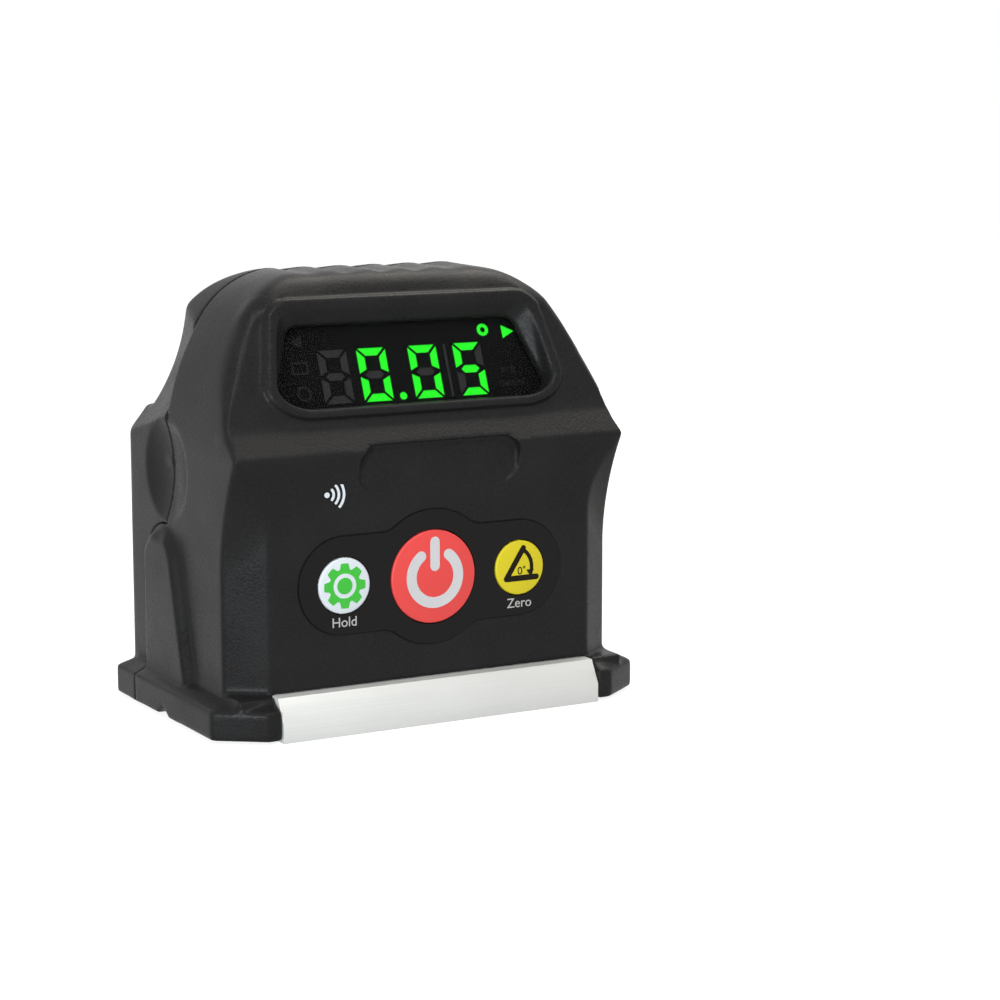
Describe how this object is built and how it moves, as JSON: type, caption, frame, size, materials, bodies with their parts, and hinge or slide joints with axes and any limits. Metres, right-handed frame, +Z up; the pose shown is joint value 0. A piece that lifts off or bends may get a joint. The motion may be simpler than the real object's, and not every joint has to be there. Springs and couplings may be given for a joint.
{
  "type": "digital angle gauge",
  "caption": "Pocket digital angle gauge with a hooded lit display, round keys, a battery door and a grooved magnetic metal base rail.",
  "frame": {"origin": "middle of the rail's underside", "axes": "+X along the rail, -Y towards the display and keys, +Z up"},
  "size_m": [0.06, 0.039, 0.0557],
  "materials": {
    "shell": "fine matte",
    "rail": "satin",
    "magnet": "plated",
    "steel": "plated",
    "window": "smoked",
    "module": "matte",
    "lit": "glowing",
    "unlit": "dull",
    "board": "solder mask",
    "link": "film",
    "sheet": "grained film",
    "red_key": "printed film",
    "white_key": "printed film",
    "yellow_key": "printed film",
    "plunger": "plain",
    "sensor": "ceramic",
    "cell": "wrapped",
    "contact": "plated"
  },
  "bodies": {
    "gauge": {"front_shell": "shell", "rear_shell": "shell", "base_rail": "rail", "base_magnets": "magnet", "base_screws": "steel", "display_window": "window", "led_module": "module", "lit_segments": "lit", "unlit_segments": "unlit", "display_board": "board", "board_link": "link", "keypad_sheet": "sheet", "key_switches": "module", "main_board": "board", "tilt_sensor": "sensor", "processor": "module", "radio_module": "steel", "board_screws": "steel", "battery_upper": "cell", "battery_lower": "cell", "contact_springs": "contact", "contact_plates": "contact", "housing_screws": "steel"},
    "power_button": {"power_key": "red_key", "power_plunger": "plunger"},
    "hold_button": {"hold_key": "white_key", "hold_plunger": "plunger"},
    "zero_button": {"zero_key": "yellow_key", "zero_plunger": "plunger"},
    "door": {"battery_door": "shell"}
  },
  "joints": [
    {"name": "power_press", "type": "slide", "parent": "gauge", "child": "power_button", "axis": [0, 1, 0], "range_m": [0, 0.0004], "stiffness_N_per_m": 400},
    {"name": "hold_press", "type": "slide", "parent": "gauge", "child": "hold_button", "axis": [0, 1, 0], "range_m": [0, 0.0004], "stiffness_N_per_m": 400},
    {"name": "zero_press", "type": "slide", "parent": "gauge", "child": "zero_button", "axis": [0, 1, 0], "range_m": [0, 0.0004], "stiffness_N_per_m": 400},
    {"name": "door_hinge", "type": "hinge", "parent": "gauge", "child": "door", "pos_m": [0, 0.0164, 0.00885], "axis": [-1, 0, 0], "range_deg": [0, 100]}
  ]
}
